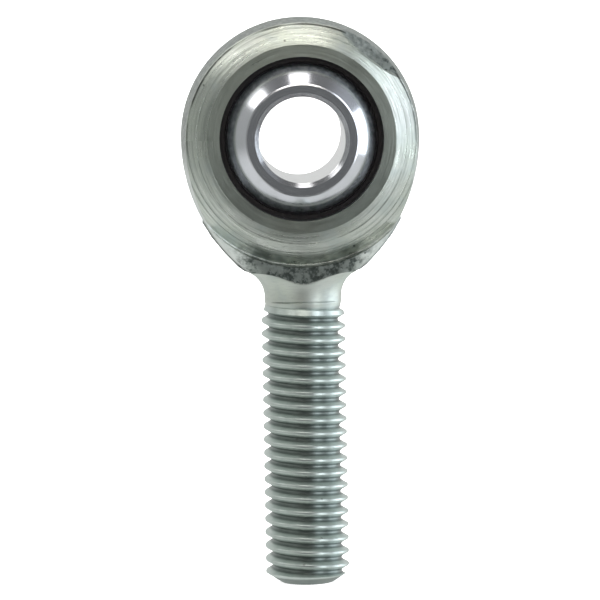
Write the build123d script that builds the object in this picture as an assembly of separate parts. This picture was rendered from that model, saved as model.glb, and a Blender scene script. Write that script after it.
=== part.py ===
"""Male rod end bearing, insert type, left-hand thread.

Frame: millimetres. The origin is the centre of the ball. +Z runs up along the shank axis towards
the top of the eye, so the threaded shank points down and ends at z = -42. The bore of the ball
lies along Y and the front of the eye faces -Y.

Pieces: rod_end_body (forged and turned eye with its rolled shank), outer_race (insert held by the
lips of the eye), ptfe_liner (bonded sliding liner), ball (spherical inner ring).
"""
from build123d import *
import math
import os

# ---------------------------------------------------------------- driving dimensions
BORE_D = 8.0              # bore of the ball, H7
BALL_D = 15.875           # ball, 5/8 inch
BALL_W = 12.0             # width of the ball over its flats
BORE_CHAMFER = 0.40       # lead-in at both ends of the bore
BALL_EDGE = 0.08          # broken edge between the flat and the sphere

RUN_GAP = 0.02            # radial clearance of each sliding surface
LINER_T = 0.32            # thickness of the liner
RACE_W = 7.0              # width of the race and of the liner
RACE_D = 18.6             # outside diameter of the race
RACE_EDGE = 0.35          # chamfer on the outer edges of the race

HEAD_R = 11.15            # radius of the eye, upper half
HEAD_W = 9.0              # width of the eye over its faces
SIDE_R = 16.0             # radius of the two flanks that run down to the neck
SIDE_Z = -0.2             # height of the centres of those flanks
BLANK_HALF = 4.62         # half width of the forging before turning
DRAFT = 6.0               # forging draft, degrees
LIP_R = 7.64              # opening in the lips that hold the race
FACE_R = 8.78             # outer radius of the flat annulus on each face
TURN_R = 11.8             # outer radius of the turned face, where it meets the forging
TURN_A0, TURN_A1 = 15.0, 39.0   # slope of the crowned face at FACE_R and at TURN_R, degrees
LINE_R = (9.77, 10.64, 11.06)  # radii of the fine turned lines
LINE_W = 0.14
LINE_DEPTH = (0.022, 0.045, 0.045)

NECK_R = 3.6              # rolling blank, equal to the pitch radius of the thread
NECK_FILLET = 2.55        # turned fillet between the neck and the eye
NECK_Z = -15.0            # where that fillet meets the straight neck
NECK_TOP = -12.48         # top of the turned fillet

END_Z = -42.0             # end of the shank
MAJOR_R = 3.93            # M8 major radius, rolled
ROOT_R = 3.235            # thread root radius
PITCH = 1.25
ROOT_ROUND = 0.18         # radius in the thread root
CREST_BEVEL = 0.06        # rounding of the rolled crest, as a bevel
RISE_TOP = -15.85         # the crests start to rise from the neck here
RISE = 1.0                # and reach the major radius over this length
CREST_Z = -17.25          # a crest on the -X side of the shank
RUNOUT_TOP = -15.50       # the thread root fades out here
RUNOUT_END = -16.95       # the thread root is at full depth here
END_CHAMFER_Z = 0.95      # length of the chamfer on the end of the shank
END_FACE_R = 2.45

os.makedirs("parts", exist_ok=True)
BALL_R = BALL_D / 2


def spun_y(points_or_edges):
    """Solid of revolution about Y from a closed profile drawn in the XY plane (x = radius)."""
    with BuildPart() as p:
        with BuildSketch(Plane.XY):
            with BuildLine():
                points_or_edges()
            make_face()
        revolve(axis=Axis.Y)
    return p.part


# ---------------------------------------------------------------- ball
def ball_profile():
    h = BALL_W / 2
    flat_r = math.sqrt(BALL_R ** 2 - h ** 2)
    b = BORE_D / 2
    c = BORE_CHAMFER
    Polyline((b, -h + c), (b, h - c), (b + c, h), (flat_r, h))
    ThreePointArc((flat_r, h), (BALL_R, 0), (flat_r, -h))
    Polyline((flat_r, -h), (b + c, -h), (b, -h + c))


ball = spun_y(ball_profile)
rim = [e for e in ball.edges().filter_by(GeomType.CIRCLE)
       if abs(e.radius - math.sqrt(BALL_R ** 2 - (BALL_W / 2) ** 2)) < 1e-3]
ball = chamfer(rim, BALL_EDGE)

# ---------------------------------------------------------------- liner and outer race
LINER_RI = BALL_R + RUN_GAP
LINER_RO = LINER_RI + LINER_T
RACE_RI = LINER_RO + RUN_GAP
HW = RACE_W / 2


def zone(ri, ro):
    """Ring between two concentric spheres, cut flat at the width of the race."""
    def draw():
        xi, xo = math.sqrt(ri ** 2 - HW ** 2), math.sqrt(ro ** 2 - HW ** 2)
        ThreePointArc((xi, -HW), (ri, 0), (xi, HW))
        Line((xi, HW), (xo, HW))
        ThreePointArc((xo, HW), (ro, 0), (xo, -HW))
        Line((xo, -HW), (xi, -HW))
    return draw


liner = spun_y(zone(LINER_RI, LINER_RO))


def race_profile():
    xi = math.sqrt(RACE_RI ** 2 - HW ** 2)
    ro = RACE_D / 2
    e = RACE_EDGE
    ThreePointArc((xi, -HW), (RACE_RI, 0), (xi, HW))
    Polyline((xi, HW), (ro - e, HW), (ro, HW - e), (ro, -HW + e), (ro - e, -HW), (xi, -HW))


race = spun_y(race_profile)

# ---------------------------------------------------------------- forged blank of the eye
def flank(z):
    """Half width of the forging at height z, on its parting line."""
    s = (SIDE_Z - z) / SIDE_R
    return HEAD_R - SIDE_R * (1 - math.sqrt(1 - s * s))


BLANK_W = 4.6             # half width of the forging where it joins the shank
BLANK_LOW = -15.6
FLANK_LOW = SIDE_Z - math.sqrt(SIDE_R ** 2 - (SIDE_R - HEAD_R + BLANK_W) ** 2)
with BuildSketch(Plane.XZ) as outline:
    with BuildLine():
        ThreePointArc((-HEAD_R, SIDE_Z), (0, HEAD_R), (HEAD_R, SIDE_Z))
        ThreePointArc((HEAD_R, SIDE_Z), (flank(-7.5), -7.5), (BLANK_W, FLANK_LOW))
        Polyline((BLANK_W, FLANK_LOW), (BLANK_W, BLANK_LOW), (-BLANK_W, BLANK_LOW), (-BLANK_W, FLANK_LOW))
        ThreePointArc((-BLANK_W, FLANK_LOW), (-flank(-7.5), -7.5), (-HEAD_R, SIDE_Z))
    make_face()
half = extrude(outline.sketch, amount=BLANK_HALF, taper=DRAFT)
prism = half + mirror(half, about=Plane.XZ)

# rounded body of the forging below the eye, thinning towards the neck
STATIONS = (      # z, half width, half thickness, corner radius
    (-2.0, 12.0, 5.25, 3.3),
    (-5.0, 10.95, 5.05, 3.3),
    (-8.0, 9.6, 4.74, 3.3),
    (-10.5, 7.95, 4.42, 3.3),
    (-12.5, 6.35, 4.15, 3.3),
    (-13.8, 5.40, 3.97, 3.25),
    (-15.0, 4.85, 3.84, 3.2),
    (-16.0, 4.70, 3.78, 3.2),
)
with BuildPart() as body_round:
    for z, hx, hy, rr in STATIONS:
        with BuildSketch(Plane.XY.offset(z)):
            RectangleRounded(2 * hx, 2 * hy, rr)
    loft()
lower = body_round.part & prism
upper = prism & Pos(0, 0, 10) * Box(40, 40, 24.0)    # z = -2 .. 22
blank = upper + lower

# trimmed flash left along the parting line of both flanks
with BuildSketch(Plane.XZ) as strip:
    with BuildLine():
        pts_r = [(flank(z) + g, z) for z, g in
                 ((-7.7, 0.0), (-7.9, 0.13), (-9.3, 0.15), (-10.8, 0.13), (-12.1, 0.20), (-12.62, 0.10))]
        pts_l = [(-x, z) for x, z in reversed(pts_r)]
        Polyline(*pts_r, *pts_l, pts_r[0])
    make_face()
flash = extrude(strip.sketch, amount=0.42) + extrude(strip.sketch, amount=-0.42)

# ---------------------------------------------------------------- shank and turned neck
def spun_z(draw):
    """Solid of revolution about Z from a closed profile drawn in the XZ plane (x = radius)."""
    with BuildPart() as p:
        with BuildSketch(Plane.XZ):
            with BuildLine():
                draw()
            make_face()
        revolve(axis=Axis.Z)
    return p.part


t30 = math.tan(math.radians(30))
touch_r = ROOT_R + ROOT_ROUND * 0.5
touch_w = ROOT_ROUND * math.sin(math.radians(60))
bevel_r = MAJOR_R - CREST_BEVEL


def groove_w(r):
    """Half width of the thread groove at radius r."""
    return touch_w + (r - touch_r) * t30


# Profile of one pitch, from the lower crest edge through the groove to the next crest. Each corner runs along a
# helix and the strips between two helices are ruled, so the thread is one closed skin, turn upon turn.
crest_w = groove_w(bevel_r) + CREST_BEVEL * 1.2
a20 = math.radians(20)
half_groove = [(ROOT_R + ROOT_ROUND * (1 - math.cos(a20)), ROOT_ROUND * math.sin(a20)), (touch_r, touch_w),
               (bevel_r, groove_w(bevel_r)), (MAJOR_R, crest_w)]
profile = [(r, -w) for r, w in reversed(half_groove)] + half_groove + [(MAJOR_R, PITCH - crest_w)]
TURNS = 24
POINTS = 12               # points per turn on each helix
base_z = CREST_Z - 22 * PITCH     # the groove of the lowest turn starts here on +X


def helix(r, z):
    """One left-hand turn at radius r, starting on +X at height z."""
    if r == 0:
        return Edge.make_line((0, 0, z), (0, 0, z + PITCH))
    turn = [-2 * math.pi * i / POINTS for i in range(POINTS + 1)]
    pts = [Vector(r * math.cos(t), r * math.sin(t), z + PITCH * i / POINTS) for i, t in enumerate(turn)]
    way = Vector(0, -2 * math.pi * r, PITCH)
    return Edge.make_spline(pts, tangents=[way, way], parameters=[i / POINTS for i in range(POINTS + 1)],
                            scale=False)


lines = [helix(r, base_z + w) for r, w in profile]
strips = [Face.make_surface_from_curves(p, q) for p, q in zip(lines, lines[1:])]
skin = [f.moved(Location((0, 0, n * PITCH))) for n in range(TURNS) for f in strips]
low_z, top_z = base_z + profile[0][1], base_z + profile[-1][1]
ramp = Face.make_surface_from_curves(helix(0, low_z), lines[0])
cheek = Face(Wire.make_polygon([(0, 0, low_z)] + [(r, 0, base_z + w) for r, w in profile] + [(0, 0, top_z)],
                               close=True))
for n in (0, TURNS):
    skin += [ramp.moved(Location((0, 0, n * PITCH))), cheek.moved(Location((0, 0, n * PITCH)))]
twist = Part(Solid(Shell(skin)).wrapped)

JOIN_Z = -15.4            # the threaded part of the shank meets the turned neck at this height, at NECK_R
END_SLOPE = END_CHAMFER_Z / (MAJOR_R - END_FACE_R)
RISE_SLOPE = (MAJOR_R - NECK_R) / RISE
CUT_TOP = RISE_TOP + 0.2 / RISE_SLOPE


def rise_profile():
    """Removes the crests above the place where they rise from the neck."""
    lo, hi = NECK_R - 0.2, MAJOR_R + 0.27
    Polyline((lo, CUT_TOP), (hi, RISE_TOP - (hi - NECK_R) / RISE_SLOPE), (hi, CUT_TOP + 0.4), (lo, CUT_TOP + 0.4),
             (lo, CUT_TOP))


def end_profile():
    """Removes the corner at the end of the shank."""
    lo, hi = END_FACE_R - 0.6, MAJOR_R + 0.27
    Polyline((lo, END_Z - 0.6 * END_SLOPE), (hi, END_Z + END_CHAMFER_Z + 0.27 * END_SLOPE),
             (hi, END_Z - 0.6 * END_SLOPE), (lo, END_Z - 0.6 * END_SLOPE))


def core_profile():
    """Inside of the run-out: the root climbs out to the neck."""
    Polyline((0, JOIN_Z), (NECK_R, JOIN_Z), (NECK_R, RUNOUT_TOP),
             (ROOT_R - 0.03, RUNOUT_END), (0, RUNOUT_END - 0.5), (0, JOIN_Z))


shank = twist - Pos(0, 0, END_Z) * Box(30, 30, 20, align=(Align.CENTER, Align.CENTER, Align.MAX))
shank = shank - Pos(0, 0, CUT_TOP) * Box(30, 30, 20, align=(Align.CENTER, Align.CENTER, Align.MIN))
shank = shank - Rot(0, 0, 37) * spun_z(rise_profile)
shank = shank - Rot(0, 0, 37) * spun_z(end_profile)
shank = shank + Rot(0, 0, 37) * spun_z(core_profile)
print("shank", len(shank.solids()), round(shank.volume, 2), shank.is_valid)
neck_top_r = NECK_R + NECK_FILLET - math.sqrt(NECK_FILLET ** 2 - (NECK_TOP - NECK_Z) ** 2)


def neck_tool_profile():
    a = math.radians(45)
    mid = (NECK_R + NECK_FILLET - NECK_FILLET * math.cos(a), NECK_Z + NECK_FILLET * math.sin(a))
    Line((NECK_R, JOIN_Z), (NECK_R, NECK_Z))
    ThreePointArc((NECK_R, NECK_Z), mid, (neck_top_r, NECK_TOP))
    Polyline((neck_top_r, NECK_TOP), (12, NECK_TOP), (12, JOIN_Z - 2.0), (0, JOIN_Z - 2.0),
             (0, JOIN_Z), (NECK_R, JOIN_Z))


neck_tool = spun_z(neck_tool_profile)

# ---------------------------------------------------------------- turning of the eye
a0, a1 = math.radians(TURN_A0), math.radians(TURN_A1)
CROWN_R = (TURN_R - FACE_R) / (math.sin(a1) - math.sin(a0))
FACE_Y = HEAD_W / 2


def crown(r):
    """Distance of the crowned face from the mid plane at radius r."""
    s = math.sin(a0) + (r - FACE_R) / CROWN_R
    return FACE_Y - CROWN_R * (math.cos(a0) - math.sqrt(1 - s * s))


def face_tool_profile():
    Line((5.0, FACE_Y), (FACE_R, FACE_Y))
    ThreePointArc((FACE_R, FACE_Y), (10.2, crown(10.2)), (TURN_R, crown(TURN_R)))
    Polyline((TURN_R, crown(TURN_R)), (TURN_R + 0.10, crown(TURN_R) + 0.02), (TURN_R + 0.34, 6.2),
             (5.0, 6.2), (5.0, FACE_Y))


face_tool = spun_y(face_tool_profile)
face_tools = face_tool + mirror(face_tool, about=Plane.XZ)

seat = Rot(90, 0, 0) * Cylinder(RACE_D / 2, RACE_W)
opening = Rot(90, 0, 0) * Cylinder(LIP_R, 20)


def line_tool(r, depth):
    def draw():
        y = crown(r)
        Polyline((r - LINE_W / 2, y + 0.12), (r, y - depth), (r + LINE_W / 2, y + 0.02),
                 (r + LINE_W / 2, y + 0.12), (r - LINE_W / 2, y + 0.12))
    t = spun_y(draw)
    return t + mirror(t, about=Plane.XZ)


body = blank + flash
body = body - neck_tool
body = body - face_tools
body = body - opening - seat
body = body + shank
for r, depth in zip(LINE_R, LINE_DEPTH):
    body = body - line_tool(r, depth)

# shallow patch at the upper right of the front where the forging was not filled and the turning left it black
PATCH_DIR = math.radians(50)
s_in, s_out = 9.6, 11.15
y_in, y_out = crown(9.6), 2.55
slope = math.atan2(y_in - y_out, s_out - s_in)
patch = Pos(s_in, 0, 0) * Box(8, 4, 30, align=(Align.CENTER, Align.MAX, Align.CENTER))
patch = Pos(0, -y_in, 0) * patch
patch = Pos(s_in, -y_in, 0) * Rot(0, 0, math.degrees(slope)) * Pos(-s_in, y_in, 0) * patch
patch = Rot(0, -math.degrees(PATCH_DIR), 0) * patch
body = body - patch

NODES = {"rod_end_body": body, "outer_race": race, "ptfe_liner": liner, "ball": ball}
for name, shape in NODES.items():
    solids = shape.solids()
    print(name, len(solids), "solid(s)", round(sum(s.volume for s in solids), 2), "mm3", shape.is_valid)
    export_step(solids[0] if len(solids) == 1 else Compound(children=solids), f"parts/{name}.step")
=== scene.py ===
"""Looks of a male rod end bearing: materials, floor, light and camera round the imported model."""
import math

import bpy
from mathutils import Matrix, Vector


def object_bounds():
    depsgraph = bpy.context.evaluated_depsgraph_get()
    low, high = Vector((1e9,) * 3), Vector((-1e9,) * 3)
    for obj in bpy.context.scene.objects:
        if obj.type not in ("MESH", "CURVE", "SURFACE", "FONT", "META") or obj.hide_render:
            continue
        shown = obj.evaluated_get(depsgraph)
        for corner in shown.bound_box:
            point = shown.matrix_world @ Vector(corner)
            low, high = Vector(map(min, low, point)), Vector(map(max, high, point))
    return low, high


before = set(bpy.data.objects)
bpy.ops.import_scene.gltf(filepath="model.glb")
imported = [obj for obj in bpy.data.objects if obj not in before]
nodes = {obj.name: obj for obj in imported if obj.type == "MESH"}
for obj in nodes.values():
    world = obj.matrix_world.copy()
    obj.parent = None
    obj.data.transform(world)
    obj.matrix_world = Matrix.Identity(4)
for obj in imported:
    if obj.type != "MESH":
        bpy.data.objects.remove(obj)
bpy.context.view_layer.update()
scene = bpy.context.scene

# ------------------------------------------------------------------ sizes shared with the model, mm
FACE_Y, FACE_R, TURN_R = 4.5, 8.78, 11.8
A0, A1 = math.radians(15.0), math.radians(39.0)
CROWN_R = (TURN_R - FACE_R) / (math.sin(A1) - math.sin(A0))
NECK_R, NECK_FILLET, NECK_Z = 3.6, 2.55, -15.0
ROOT_R, MAJOR_R, PITCH, CREST_Z = 3.235, 3.93, 1.25, -17.25


# ------------------------------------------------------------------ node helpers
class Graph:
    def __init__(self, name):
        self.mat = bpy.data.materials.new(name)
        self.mat.use_nodes = True
        self.nt = self.mat.node_tree
        self.nt.nodes.clear()
        self.out = self.nt.nodes.new("ShaderNodeOutputMaterial")
        tc = self.nt.nodes.new("ShaderNodeTexCoord")
        mm = self.nt.nodes.new("ShaderNodeVectorMath")
        mm.operation = "SCALE"
        mm.inputs["Scale"].default_value = 1000.0
        self.nt.links.new(tc.outputs["Object"], mm.inputs[0])
        self.P = mm.outputs[0]
        sep = self.nt.nodes.new("ShaderNodeSeparateXYZ")
        self.nt.links.new(self.P, sep.inputs[0])
        self.x, self.y, self.z = sep.outputs[0], sep.outputs[1], sep.outputs[2]

    def put(self, socket, value):
        if hasattr(value, "is_linked") or hasattr(value, "node"):
            self.nt.links.new(value, socket)
        elif value is not None:
            socket.default_value = value

    def m(self, op, a, b=None, c=None, clamp=False):
        n = self.nt.nodes.new("ShaderNodeMath")
        n.operation = op
        n.use_clamp = clamp
        for i, v in enumerate((a, b, c)):
            if v is not None:
                self.put(n.inputs[i], v)
        return n.outputs[0]

    def add(self, a, b): return self.m("ADD", a, b)
    def sub(self, a, b): return self.m("SUBTRACT", a, b)
    def mul(self, a, b): return self.m("MULTIPLY", a, b)
    def absv(self, a): return self.m("ABSOLUTE", a)
    def maxv(self, a, b): return self.m("MAXIMUM", a, b)
    def minv(self, a, b): return self.m("MINIMUM", a, b)
    def inv(self, a): return self.m("SUBTRACT", 1.0, a)
    def hyp(self, a, b): return self.m("SQRT", self.add(self.mul(a, a), self.mul(b, b)))

    def step(self, v, lo, hi, a=0.0, b=1.0):
        n = self.nt.nodes.new("ShaderNodeMapRange")
        n.interpolation_type = "SMOOTHSTEP"
        self.put(n.inputs["Value"], v)
        for k, w in (("From Min", lo), ("From Max", hi), ("To Min", a), ("To Max", b)):
            self.put(n.inputs[k], w)
        return n.outputs["Result"]

    def lin(self, v, lo, hi, a=0.0, b=1.0):
        n = self.nt.nodes.new("ShaderNodeMapRange")
        self.put(n.inputs["Value"], v)
        for k, w in (("From Min", lo), ("From Max", hi), ("To Min", a), ("To Max", b)):
            self.put(n.inputs[k], w)
        return n.outputs["Result"]

    def vec(self, a, b, c):
        n = self.nt.nodes.new("ShaderNodeCombineXYZ")
        for i, v in enumerate((a, b, c)):
            self.put(n.inputs[i], v)
        return n.outputs[0]

    def noise(self, v, scale, detail=3.0, rough=0.55, distort=0.0, color=False):
        n = self.nt.nodes.new("ShaderNodeTexNoise")
        self.put(n.inputs["Vector"], v)
        n.inputs["Scale"].default_value = scale
        n.inputs["Detail"].default_value = detail
        n.inputs["Roughness"].default_value = rough
        n.inputs["Distortion"].default_value = distort
        return n.outputs["Color" if color else "Fac"]

    def cells(self, v, scale, feature="F1", random=1.0):
        n = self.nt.nodes.new("ShaderNodeTexVoronoi")
        n.feature = feature
        self.put(n.inputs["Vector"], v)
        n.inputs["Scale"].default_value = scale
        n.inputs["Randomness"].default_value = random
        return n.outputs["Distance"]

    def mixc(self, f, a, b, kind="MIX"):
        n = self.nt.nodes.new("ShaderNodeMix")
        n.data_type = "RGBA"
        n.blend_type = kind
        self.put(n.inputs[0], f)
        for s, v in ((n.inputs[6], a), (n.inputs[7], b)):
            if isinstance(v, tuple):
                v = (*v, 1.0) if len(v) == 3 else v
            self.put(s, v)
        return n.outputs[2]

    def mixf(self, f, a, b):
        n = self.nt.nodes.new("ShaderNodeMix")
        n.data_type = "FLOAT"
        self.put(n.inputs[0], f)
        self.put(n.inputs[2], a)
        self.put(n.inputs[3], b)
        return n.outputs[0]

    def bump(self, height, strength, distance, normal=None):
        n = self.nt.nodes.new("ShaderNodeBump")
        n.inputs["Strength"].default_value = strength
        n.inputs["Distance"].default_value = distance
        self.put(n.inputs["Height"], height)
        if normal is not None:
            self.nt.links.new(normal, n.inputs["Normal"])
        return n.outputs[0]

    def tangent(self, axis):
        n = self.nt.nodes.new("ShaderNodeTangent")
        n.direction_type = "RADIAL"
        n.axis = axis
        return n.outputs[0]

    def shader(self, color, rough, metallic=1.0, normal=None, aniso=0.0, rot=0.0, tangent=None, spec=0.5, coat=0.0,
               coat_rough=0.03):
        n = self.nt.nodes.new("ShaderNodeBsdfPrincipled")
        self.put(n.inputs["Base Color"], (*color, 1.0) if isinstance(color, tuple) else color)
        self.put(n.inputs["Roughness"], rough)
        n.inputs["Metallic"].default_value = metallic
        n.inputs["Specular IOR Level"].default_value = spec
        n.inputs["Anisotropic"].default_value = aniso
        n.inputs["Anisotropic Rotation"].default_value = rot
        n.inputs["Coat Weight"].default_value = coat
        n.inputs["Coat Roughness"].default_value = coat_rough
        if normal is not None:
            self.nt.links.new(normal, n.inputs["Normal"])
        if tangent is not None:
            self.nt.links.new(tangent, n.inputs["Tangent"])
        return n.outputs[0]

    def blend(self, f, a, b):
        n = self.nt.nodes.new("ShaderNodeMixShader")
        self.put(n.inputs[0], f)
        self.nt.links.new(a, n.inputs[1])
        self.nt.links.new(b, n.inputs[2])
        return n.outputs[0]

    def finish(self, shader):
        self.nt.links.new(shader, self.out.inputs["Surface"])
        return self.mat


# ------------------------------------------------------------------ zinc plated, chromated steel of the body
def body_steel():
    g = Graph("zinc_chromated_steel")
    x, y, z, P = g.x, g.y, g.z, g.P
    r = g.hyp(x, z)
    rho = g.hyp(x, y)
    ay = g.absv(y)
    th = g.m("ARCTAN2", z, x)
    ph = g.m("ARCTAN2", y, x)

    # turned faces of the eye: where the surface lies on the turned profile
    s = g.add(g.mul(g.sub(g.maxv(r, FACE_R), FACE_R), 1.0 / CROWN_R), math.sin(A0))
    crown = g.add(g.mul(g.sub(g.m("SQRT", g.maxv(g.sub(1.0, g.mul(s, s)), 0.0)), math.cos(A0)), CROWN_R), FACE_Y)
    crown = g.m("MULTIPLY_ADD", g.step(r, FACE_R - 0.001, FACE_R, 1.0, 0.0), g.sub(FACE_Y, crown), crown)
    rag = g.noise(P, 1.6, 5.0, 0.7)
    d = g.add(g.sub(ay, crown), g.mul(g.sub(rag, 0.5), 0.45))
    on_face = g.mul(g.step(d, -0.17, -0.09), g.step(r, 11.80, 11.86, 1.0, 0.0))
    on_face = g.mul(on_face, g.step(z, -12.2, -12.0))

    # neck and thread: where the surface lies on the profile turned about the shank axis
    zc = g.maxv(g.minv(z, -12.46), NECK_Z)
    dz = g.sub(zc, NECK_Z)
    rn = g.sub(NECK_R + NECK_FILLET, g.m("SQRT", g.maxv(g.sub(NECK_FILLET ** 2, g.mul(dz, dz)), 0.0)))
    off = g.sub(rn, rho)
    rag2 = g.noise(P, 2.6, 5.0, 0.7)
    on_neck = g.mul(g.step(g.add(off, g.mul(g.sub(rag2, 0.5), 0.30)), 0.02, 0.12, 1.0, 0.0), g.step(z, -12.42, -12.50))
    on_neck = g.maxv(on_neck, g.step(z, -15.0, -15.2))
    on_thread = g.step(z, -15.55, -16.0)

    # plating: slow changes of tint, faint clouds, few dark specks
    cloud = g.noise(P, 0.16, 3.0, 0.6)
    cloud2 = g.noise(P, 0.55, 4.0, 0.6)
    tint = g.mixc(g.step(cloud, 0.35, 0.65), (0.60, 0.645, 0.575), (0.66, 0.68, 0.655))
    tint = g.mixc(g.step(cloud2, 0.45, 0.72), tint, (0.55, 0.60, 0.575))
    speck = g.mul(g.step(g.cells(P, 0.62), 0.05, 0.11, 1.0, 0.0), g.step(g.noise(P, 0.9, 1.0), 0.52, 0.58))

    # turned faces: tool marks run round the bore axis
    ring_v = g.vec(g.mul(r, 1.0), g.mul(th, 0.35), g.mul(g.m("SIGN", y), 5.0))
    rings = g.noise(ring_v, 5.0, 4.0, 0.7)
    rings_fine = g.noise(g.vec(g.mul(r, 1.0), g.mul(th, 0.9), 3.0), 22.0, 2.0, 0.6)
    face_h = g.add(g.mul(rings, 1.0), g.mul(rings_fine, 0.35))
    flat = g.step(r, 8.74, 8.82, 1.0, 0.0)
    broad = g.noise(g.vec(g.mul(r, 1.0), g.mul(th, 0.25), g.add(g.mul(g.m("SIGN", y), 5.0), 11.0)), 2.2, 3.0, 0.6)
    face_c = g.mixc(g.mul(g.step(rings, 0.45, 0.68), 0.75), g.mixc(0.15, tint, (0.80, 0.83, 0.79)), (0.40, 0.43, 0.395))
    face_c = g.mixc(g.mul(g.step(broad, 0.50, 0.66), 0.5), face_c, (0.42, 0.45, 0.42))
    groove_shade_breakup = g.noise(g.vec(g.mul(th, 1.6), g.mul(r, 0.4), 2.0), 1.6, 3.0, 0.6)
    upper = g.step(z, -3.0, 4.0)
    lower = g.step(z, 1.0, -5.0)
    # dark rings at set radii, each on the upper or the lower half only: painted shade of the turned grooves, broken up
    # by noise
    for lr, wide, deep, where in ((9.77, 0.07, 0.6, lower), (10.64, 0.13, 0.85, upper), (11.07, 0.10, 0.9, upper),
                                  (10.25, 0.04, 0.45, upper)):
        line = g.mul(g.step(g.absv(g.sub(r, lr)), wide * 0.4, wide, 1.0, 0.0), where)
        face_c = g.mixc(g.mul(g.mul(line, deep), g.step(groove_shade_breakup, 0.36, 0.56)), face_c, (0.12, 0.13, 0.12))
    # the flat face is darker towards the bottom: painted shade
    low_face_shade = g.mul(g.step(g.add(z, g.mul(g.sub(cloud2, 0.5), 4.0)), 1.0, -6.5), 0.55)
    flat_c = g.mixc(low_face_shade, (0.43, 0.46, 0.41), (0.17, 0.185, 0.165))
    face_c = g.mixc(g.mul(flat, 0.85), face_c, flat_c)
    face_c = g.mixc(g.mul(speck, 0.7), face_c, (0.12, 0.13, 0.12))
    face_r = g.add(g.lin(cloud2, 0.3, 0.7, 0.27, 0.36), g.mul(g.sub(rings, 0.5), 0.4))
    face_r = g.add(face_r, g.mul(flat, 0.06))
    face = g.shader(face_c, face_r, normal=g.bump(face_h, 0.9, 0.00003), aniso=0.55, rot=0.25, tangent=g.tangent("Y"))

    # forged skin, dimpled; its tones are painted light and shade: a dark shaded tone on the lower front, a light lit
    # tone on the lower sides, a middle tone on the upper rim
    lumps = g.noise(P, 1.3, 6.0, 0.68)
    grain = g.noise(P, 4.5, 4.0, 0.7)
    dimple = g.cells(P, 2.4, "SMOOTH_F1")
    forge_h = g.add(g.mul(lumps, 1.0), g.add(g.mul(grain, 0.35), g.mul(dimple, 0.4)))
    dark = g.mixc(g.step(lumps, 0.40, 0.58), (0.09, 0.105, 0.098), (0.34, 0.37, 0.35))
    dark = g.mixc(g.mul(g.step(grain, 0.55, 0.7), 0.5), dark, (0.50, 0.53, 0.52))
    light = g.mixc(g.step(lumps, 0.30, 0.6), (0.62, 0.655, 0.635), (0.80, 0.83, 0.81))
    side = g.step(g.add(g.absv(x), g.mul(g.sub(lumps, 0.5), 3.0)), 4.6, 6.6)
    high = g.step(z, -4.0, 0.0)
    rim = g.mixc(g.step(g.noise(P, 1.9, 6.0, 0.75), 0.38, 0.66), (0.27, 0.295, 0.28), (0.50, 0.53, 0.51))
    rim = g.mixc(g.mul(g.step(lumps, 0.56, 0.66), 0.6), rim, (0.16, 0.18, 0.17))
    # a diagonal patch on the upper right of the rim takes the dark painted-shade tone
    rim_dark_patch = g.mul(g.step(g.sub(x, z), -1.5, 1.5), g.step(ay, 2.0, 2.6))
    rim = g.mixc(g.mul(rim_dark_patch, g.step(g.add(x, z), 9.0, 12.0)), rim, dark)
    # lower sides get the painted lit tone, the lower front the painted shaded tone
    forge_c = g.mixc(g.mul(side, g.inv(high)), g.mixc(g.step(z, -9.0, -6.0), dark, rim), light)
    forge_c = g.mixc(g.mul(speck, 0.8), forge_c, (0.08, 0.085, 0.08))
    forge_r = g.lin(grain, 0.3, 0.7, 0.36, 0.52)
    forge = g.shader(forge_c, forge_r, normal=g.bump(forge_h, 0.75, 0.00010))

    # neck and thread: marks run round the shank
    band_v = g.vec(g.mul(z, 1.0), g.mul(ph, 0.5), g.mul(rho, 0.6))
    bands = g.noise(band_v, 6.0, 4.0, 0.65)
    neck_c = g.mixc(g.mul(g.step(bands, 0.45, 0.75), 0.4), g.mixc(0.25, tint, (0.80, 0.83, 0.80)), (0.54, 0.57, 0.55))
    # thread roots darkened: painted shade in the grooves
    root_shade_mask = g.mul(on_thread, g.step(rho, 3.30, 3.62, 1.0, 0.0))
    streak = g.noise(g.vec(g.mul(z, 0.35), g.mul(ph, 2.2), rho), 2.0, 4.0, 0.6)
    thread_c = g.mixc(g.mul(g.step(streak, 0.42, 0.7), 0.5), (0.64, 0.70, 0.672), (0.49, 0.555, 0.535))
    thread_c = g.mixc(g.mul(root_shade_mask, 0.7), thread_c, (0.10, 0.12, 0.115))
    neck_c = g.mixc(on_thread, neck_c, thread_c)
    neck_c = g.mixc(g.mul(speck, 0.5), neck_c, (0.14, 0.15, 0.14))
    neck_r = g.add(g.lin(cloud2, 0.3, 0.7, 0.36, 0.44), g.mul(g.sub(bands, 0.5), 0.2))
    neck_r = g.add(neck_r, g.mul(g.inv(on_thread), 0.12))
    neck = g.shader(neck_c, neck_r, normal=g.bump(bands, 0.45, 0.00002), aniso=0.5, rot=0.25, tangent=g.tangent("Z"))

    out = g.blend(on_face, forge, face)
    out = g.blend(on_neck, out, neck)
    return g.finish(out)


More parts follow.
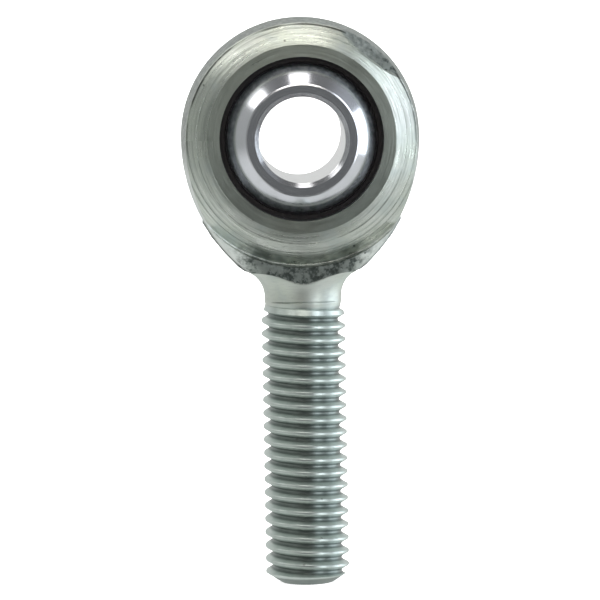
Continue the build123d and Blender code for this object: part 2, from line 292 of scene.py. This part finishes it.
# ------------------------------------------------------------------ hard chromed ball
def chrome():
    g = Graph("hard_chrome")
    x, y, z, P = g.x, g.y, g.z, g.P
    r = g.hyp(x, z)
    ay = g.absv(y)
    th = g.m("ARCTAN2", z, x)
    big = g.hyp(r, y)
    on_sphere = g.step(big, 7.90, 7.93)
    fine = g.noise(g.vec(g.mul(r, 1.0), g.mul(th, 0.4), g.mul(y, 0.2)), 9.0, 4.0, 0.65)
    smudge = g.noise(P, 0.35, 3.0, 0.6)
    col = g.mixc(g.step(smudge, 0.4, 0.65), (0.72, 0.72, 0.775), (0.68, 0.685, 0.73))
    polished = g.shader(col, g.lin(smudge, 0.35, 0.7, 0.15, 0.20), normal=g.bump(smudge, 0.05, 0.00005))
    flat_c = g.mixc(g.step(fine, 0.4, 0.7), (0.60, 0.60, 0.635), (0.69, 0.69, 0.72))
    # the bore inside r 4.05 gets a lighter colour: painted light
    flat_c = g.mixc(g.step(r, 4.02, 4.08, 1.0, 0.0), flat_c, (0.86, 0.86, 0.87))
    flat_r = g.add(0.22, g.mul(g.sub(fine, 0.5), 0.2))
    ground = g.shader(flat_c, flat_r, normal=g.bump(fine, 0.25, 0.00001), aniso=0.35, rot=0.25, tangent=g.tangent("Y"))
    return g.finish(g.blend(on_sphere, ground, polished))


# ------------------------------------------------------------------ black race, dark liner
def phosphate():
    g = Graph("black_phosphate")
    n = g.noise(g.P, 6.0, 4.0, 0.6)
    c = g.mixc(n, (0.006, 0.006, 0.007), (0.016, 0.016, 0.017))
    return g.finish(g.shader(c, g.lin(n, 0.3, 0.7, 0.5, 0.7), metallic=0.0, normal=g.bump(n, 0.3, 0.00002), spec=0.18))


def liner_cloth():
    g = Graph("woven_liner")
    r = g.hyp(g.x, g.z)
    th = g.m("ARCTAN2", g.z, g.x)
    weave = g.mul(g.m("SINE", g.mul(th, 150.0)), g.m("SINE", g.mul(g.add(r, g.y), 22.0)))
    n = g.noise(g.P, 3.0, 4.0, 0.6)
    c = g.mixc(n, (0.005, 0.0045, 0.005), (0.014, 0.012, 0.012))
    h = g.add(g.mul(weave, 0.4), n)
    return g.finish(g.shader(c, g.lin(n, 0.3, 0.7, 0.6, 0.8), metallic=0.0, normal=g.bump(h, 0.4, 0.00002), spec=0.12))


MATS = {"rod_end_body": body_steel(), "ball": chrome(), "outer_race": phosphate(), "ptfe_liner": liner_cloth()}
for name, mat in MATS.items():
    o = nodes[name]
    o.data.materials.clear()
    o.data.materials.append(mat)

# ------------------------------------------------------------------ floor that curves up behind
low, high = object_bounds()
floor_z = low[2]


def sweep_floor():
    """Round floor whose rim curves up into a wall on every side."""
    flat, bend, rise, ring = 1.05, 0.35, 1.7, 96
    prof = [(flat * i / 24, 0.0) for i in range(1, 25)]
    for i in range(1, 25):
        a = math.pi / 2 * i / 24
        prof.append((flat + bend * math.sin(a), bend - bend * math.cos(a)))
    prof += [(flat + bend, bend + (rise - bend) * i / 8) for i in range(1, 9)]
    verts = [(0.0, 0.0, floor_z)]
    for d, h in prof:
        verts += [(d * math.cos(2 * math.pi * k / ring), d * math.sin(2 * math.pi * k / ring), floor_z + h)
                  for k in range(ring)]
    faces = [(0, 1 + k, 1 + (k + 1) % ring) for k in range(ring)]
    for j in range(len(prof) - 1):
        for k in range(ring):
            p, q = 1 + j * ring, 1 + (j + 1) * ring
            n = (k + 1) % ring
            faces.append((p + k, q + k, q + n, p + n))
    me = bpy.data.meshes.new("studio_floor")
    me.from_pydata(verts, [], faces)
    me.update()
    for p in me.polygons:
        p.use_smooth = True
    o = bpy.data.objects.new("studio_floor", me)
    scene.collection.objects.link(o)
    g = Graph("floor_paper")
    c = g.mixc(g.noise(g.P, 0.02, 2.0), (0.90, 0.90, 0.90), (0.92, 0.92, 0.92))
    paper = g.shader(c, 0.9, metallic=0.0, spec=0.1)
    glow = g.nt.nodes.new("ShaderNodeEmission")
    glow.inputs["Color"].default_value = (1.0, 1.0, 1.0, 1.0)
    glow.inputs["Strength"].default_value = 0.72
    both = g.nt.nodes.new("ShaderNodeAddShader")
    g.nt.links.new(paper, both.inputs[0])
    g.nt.links.new(glow.outputs[0], both.inputs[1])
    me.materials.append(g.finish(both.outputs[0]))
    o.visible_glossy = False


sweep_floor()


# ------------------------------------------------------------------ light
def softbox(name, place, target, sx, sy, radiance, color):
    data = bpy.data.lights.new(name, "AREA")
    data.shape = "RECTANGLE"
    data.size, data.size_y = sx, sy
    data.energy = radiance * math.pi * sx * sy
    data.color = color
    o = bpy.data.objects.new(name, data)
    o.location = place
    o.rotation_euler = (Vector(target) - Vector(place)).to_track_quat("-Z", "Y").to_euler()
    scene.collection.objects.link(o)
    return o


def around(azimuth, elevation, distance):
    """Place seen from the ball: azimuth from the camera's side towards +X, both angles in degrees."""
    a, e = math.radians(azimuth), math.radians(elevation)
    return (distance * math.sin(a) * math.cos(e), -distance * math.cos(a) * math.cos(e), distance * math.sin(e))


HUB = (0.0, 0.0, 0.0)
softbox("top_front", around(0, 40, 0.60), HUB, 0.33, 0.17, 3.5, (1.0, 0.965, 0.89))
softbox("top_over", around(0, 84, 0.60), HUB, 0.20, 0.30, 2.4, (1.0, 0.985, 0.96))
softbox("right_wall", around(40, 9, 0.62), HUB, 0.21, 0.62, 2.9, (0.88, 0.945, 1.0))
softbox("right_far", around(98, 3, 0.60), HUB, 0.46, 0.44, 2.3, (0.86, 0.94, 1.0))
softbox("left_high", around(-40, 38, 0.60), HUB, 0.19, 0.19, 2.7, (1.0, 0.985, 0.94))
softbox("left_over", (-0.42, -0.03, 0.38), HUB, 0.17, 0.20, 2.2, (1.0, 1.0, 0.98))

world = bpy.data.worlds.new("studio")
scene.world = world
world.use_nodes = True
wn = world.node_tree
wn.nodes.clear()
wo = wn.nodes.new("ShaderNodeOutputWorld")
bg = wn.nodes.new("ShaderNodeBackground")
way = wn.nodes.new("ShaderNodeTexCoord")
xyz = wn.nodes.new("ShaderNodeSeparateXYZ")
wn.links.new(way.outputs["Generated"], xyz.inputs[0])


def toward(axis, lo, hi):
    """Smooth mask over the sky, 0 to 1 as one component of the direction goes from lo to hi."""
    n = wn.nodes.new("ShaderNodeMapRange")
    n.interpolation_type = "SMOOTHSTEP"
    wn.links.new(xyz.outputs[axis], n.inputs["Value"])
    n.inputs["From Min"].default_value, n.inputs["From Max"].default_value = lo, hi
    return n.outputs["Result"]


def layer(mask, under, color):
    n = wn.nodes.new("ShaderNodeMix")
    n.data_type = "RGBA"
    wn.links.new(mask, n.inputs[0])
    if isinstance(under, tuple):
        n.inputs[6].default_value = (*under, 1.0)
    else:
        wn.links.new(under, n.inputs[6])
    n.inputs[7].default_value = (*color, 1.0)
    return n.outputs[2]


def times(a, b):
    n = wn.nodes.new("ShaderNodeMath")
    n.operation = "MULTIPLY"
    wn.links.new(a, n.inputs[0])
    wn.links.new(b, n.inputs[1])
    return n.outputs[0]


sky = layer(toward(0, -0.35, -0.85), (0.20, 0.205, 0.20), (0.42, 0.44, 0.42))
sky = layer(toward(0, 0.45, 0.80), sky, (0.42, 0.45, 0.47))
sky = layer(toward(1, 0.15, 0.6), sky, (0.74, 0.75, 0.74))
sky = layer(toward(2, -0.12, -0.45), sky, (0.76, 0.79, 0.765))
sky = layer(toward(1, -0.84, -0.96), sky, (0.21, 0.22, 0.22))
under = times(times(toward(0, -0.42, -0.18), toward(0, 0.42, 0.18)), times(toward(2, -0.06, -0.25), toward(2, -0.84, -0.66)))
sky = layer(times(under, toward(1, -0.3, -0.5)), sky, (0.02, 0.022, 0.021))
wn.links.new(sky, bg.inputs["Color"])
bg.inputs["Strength"].default_value = 1.0
wn.links.new(bg.outputs[0], wo.inputs["Surface"])

# ------------------------------------------------------------------ camera
cam_data = bpy.data.cameras.new("camera")
cam = bpy.data.objects.new("camera", cam_data)
scene.collection.objects.link(cam)
CAM = Vector((-0.0170, -0.4985, 0.0350))
AIM = Vector((-0.00028, 0.0, -0.0154))
ROLL = math.radians(-1.0)
cam.location = CAM
q = (AIM - CAM).to_track_quat("-Z", "Y")
cam.rotation_euler = (q.to_matrix().to_4x4() @ Matrix.Rotation(ROLL, 4, "Z")).to_euler()
cam_data.sensor_width = 36.0
cam_data.lens = 321.0
cam_data.clip_start = 0.01
cam_data.clip_end = 20.0
scene.camera = cam

scene.view_settings.view_transform = "Standard"
scene.view_settings.look = "None"
scene.view_settings.exposure = 0.0
scene.view_settings.gamma = 1.0
